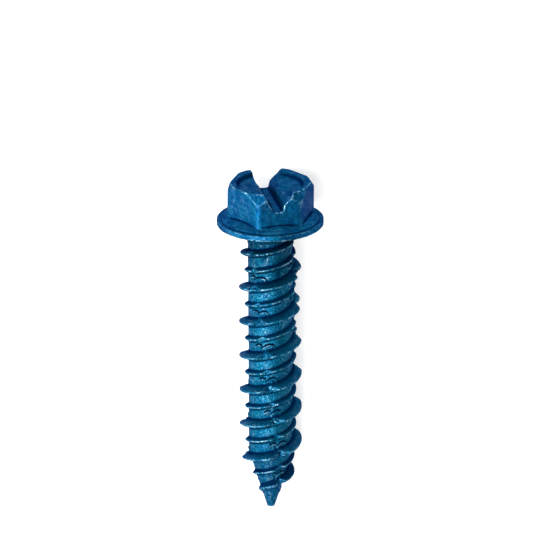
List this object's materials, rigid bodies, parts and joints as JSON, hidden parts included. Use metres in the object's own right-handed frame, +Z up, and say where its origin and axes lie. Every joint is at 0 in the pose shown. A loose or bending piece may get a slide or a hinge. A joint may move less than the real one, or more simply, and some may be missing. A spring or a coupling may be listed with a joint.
{
  "type": "concrete screw",
  "caption": "Blue coated concrete screw with a slotted hexagon washer head and a notched high and low thread, driven into a drilled hole to fix things to masonry.",
  "frame": {"origin": "centre of the seat under the washer flange, on the screw's axis", "axes": "+Z up from the floor that the screw lies on, +Y along the screw towards the head, whose axis leans up from the floor, +X to the right seen from above with the head away"},
  "size_m": [0.011, 0.036, 0.0109],
  "materials": {
    "blue_coating": "satin"
  },
  "bodies": {
    "root": {"concrete_screw": "blue_coating"}
  },
  "joints": []
}
